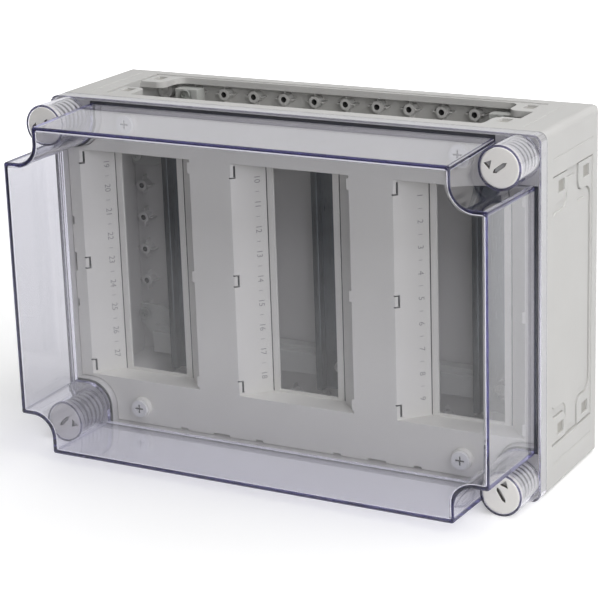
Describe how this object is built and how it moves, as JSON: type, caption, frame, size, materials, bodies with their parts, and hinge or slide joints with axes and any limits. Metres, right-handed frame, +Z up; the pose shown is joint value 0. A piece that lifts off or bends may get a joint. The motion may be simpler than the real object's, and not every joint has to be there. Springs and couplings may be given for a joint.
{
  "type": "circuit breaker enclosure",
  "caption": "Insulated wall enclosure with a clear screwed hood, a slotted front mask over vertical top hat rails and flange openings for coupling.",
  "frame": {"origin": "centre of the bounding box in width and depth, on the bottom face that it stands on", "axes": "+X to the right, +Y from the hood towards the wall, +Z up"},
  "size_m": [0.375, 0.175, 0.25],
  "materials": {
    "housing_grey": "fine moulded texture",
    "clear_hood": "clear, polished",
    "seal_foam": "closed-cell foam",
    "screw_plastic": "smooth moulded",
    "mask_grey": "satin moulded",
    "white_plastic": "smooth moulded",
    "post_plastic": "smooth moulded",
    "zinc_rail": "bright zinc plated",
    "carrier_grey": "satin moulded",
    "zinc_screw": "bright zinc plated"
  },
  "bodies": {
    "enclosure": {"base": "housing_grey", "hood_seal": "seal_foam", "front_mask": "mask_grey", "mask_screws": "white_plastic", "mask_posts": "post_plastic", "rail_left": "zinc_rail", "rail_middle": "zinc_rail", "rail_right": "zinc_rail", "carrier_upper": "carrier_grey", "carrier_lower": "carrier_grey", "rail_screws": "zinc_screw", "carrier_screws": "zinc_screw", "blank_left": "housing_grey", "blank_right": "housing_grey", "blank_bottom": "housing_grey"},
    "hood": {"hood": "clear_hood"},
    "cover_screw_tl": {"cover_screw_tl": "screw_plastic"},
    "cover_screw_tr": {"cover_screw_tr": "screw_plastic"},
    "cover_screw_bl": {"cover_screw_bl": "screw_plastic"},
    "cover_screw_br": {"cover_screw_br": "screw_plastic"}
  },
  "joints": [
    {"name": "hood_lift_off", "type": "slide", "parent": "enclosure", "child": "hood", "axis": [0, -1, 0], "range_m": [0, 0.1]},
    {"name": "cover_screw_tl_turn", "type": "hinge", "parent": "hood", "child": "cover_screw_tl", "pos_m": [-0.1725, -0.0145, 0.235], "axis": [0, -1, 0], "range_deg": [-90, 90]},
    {"name": "cover_screw_tr_turn", "type": "hinge", "parent": "hood", "child": "cover_screw_tr", "pos_m": [0.1725, -0.0145, 0.235], "axis": [0, -1, 0], "range_deg": [-90, 90]},
    {"name": "cover_screw_bl_turn", "type": "hinge", "parent": "hood", "child": "cover_screw_bl", "pos_m": [-0.1725, -0.0145, 0.015], "axis": [0, -1, 0], "range_deg": [-90, 90]},
    {"name": "cover_screw_br_turn", "type": "hinge", "parent": "hood", "child": "cover_screw_br", "pos_m": [0.1725, -0.0145, 0.015], "axis": [0, -1, 0], "range_deg": [-90, 90]}
  ]
}
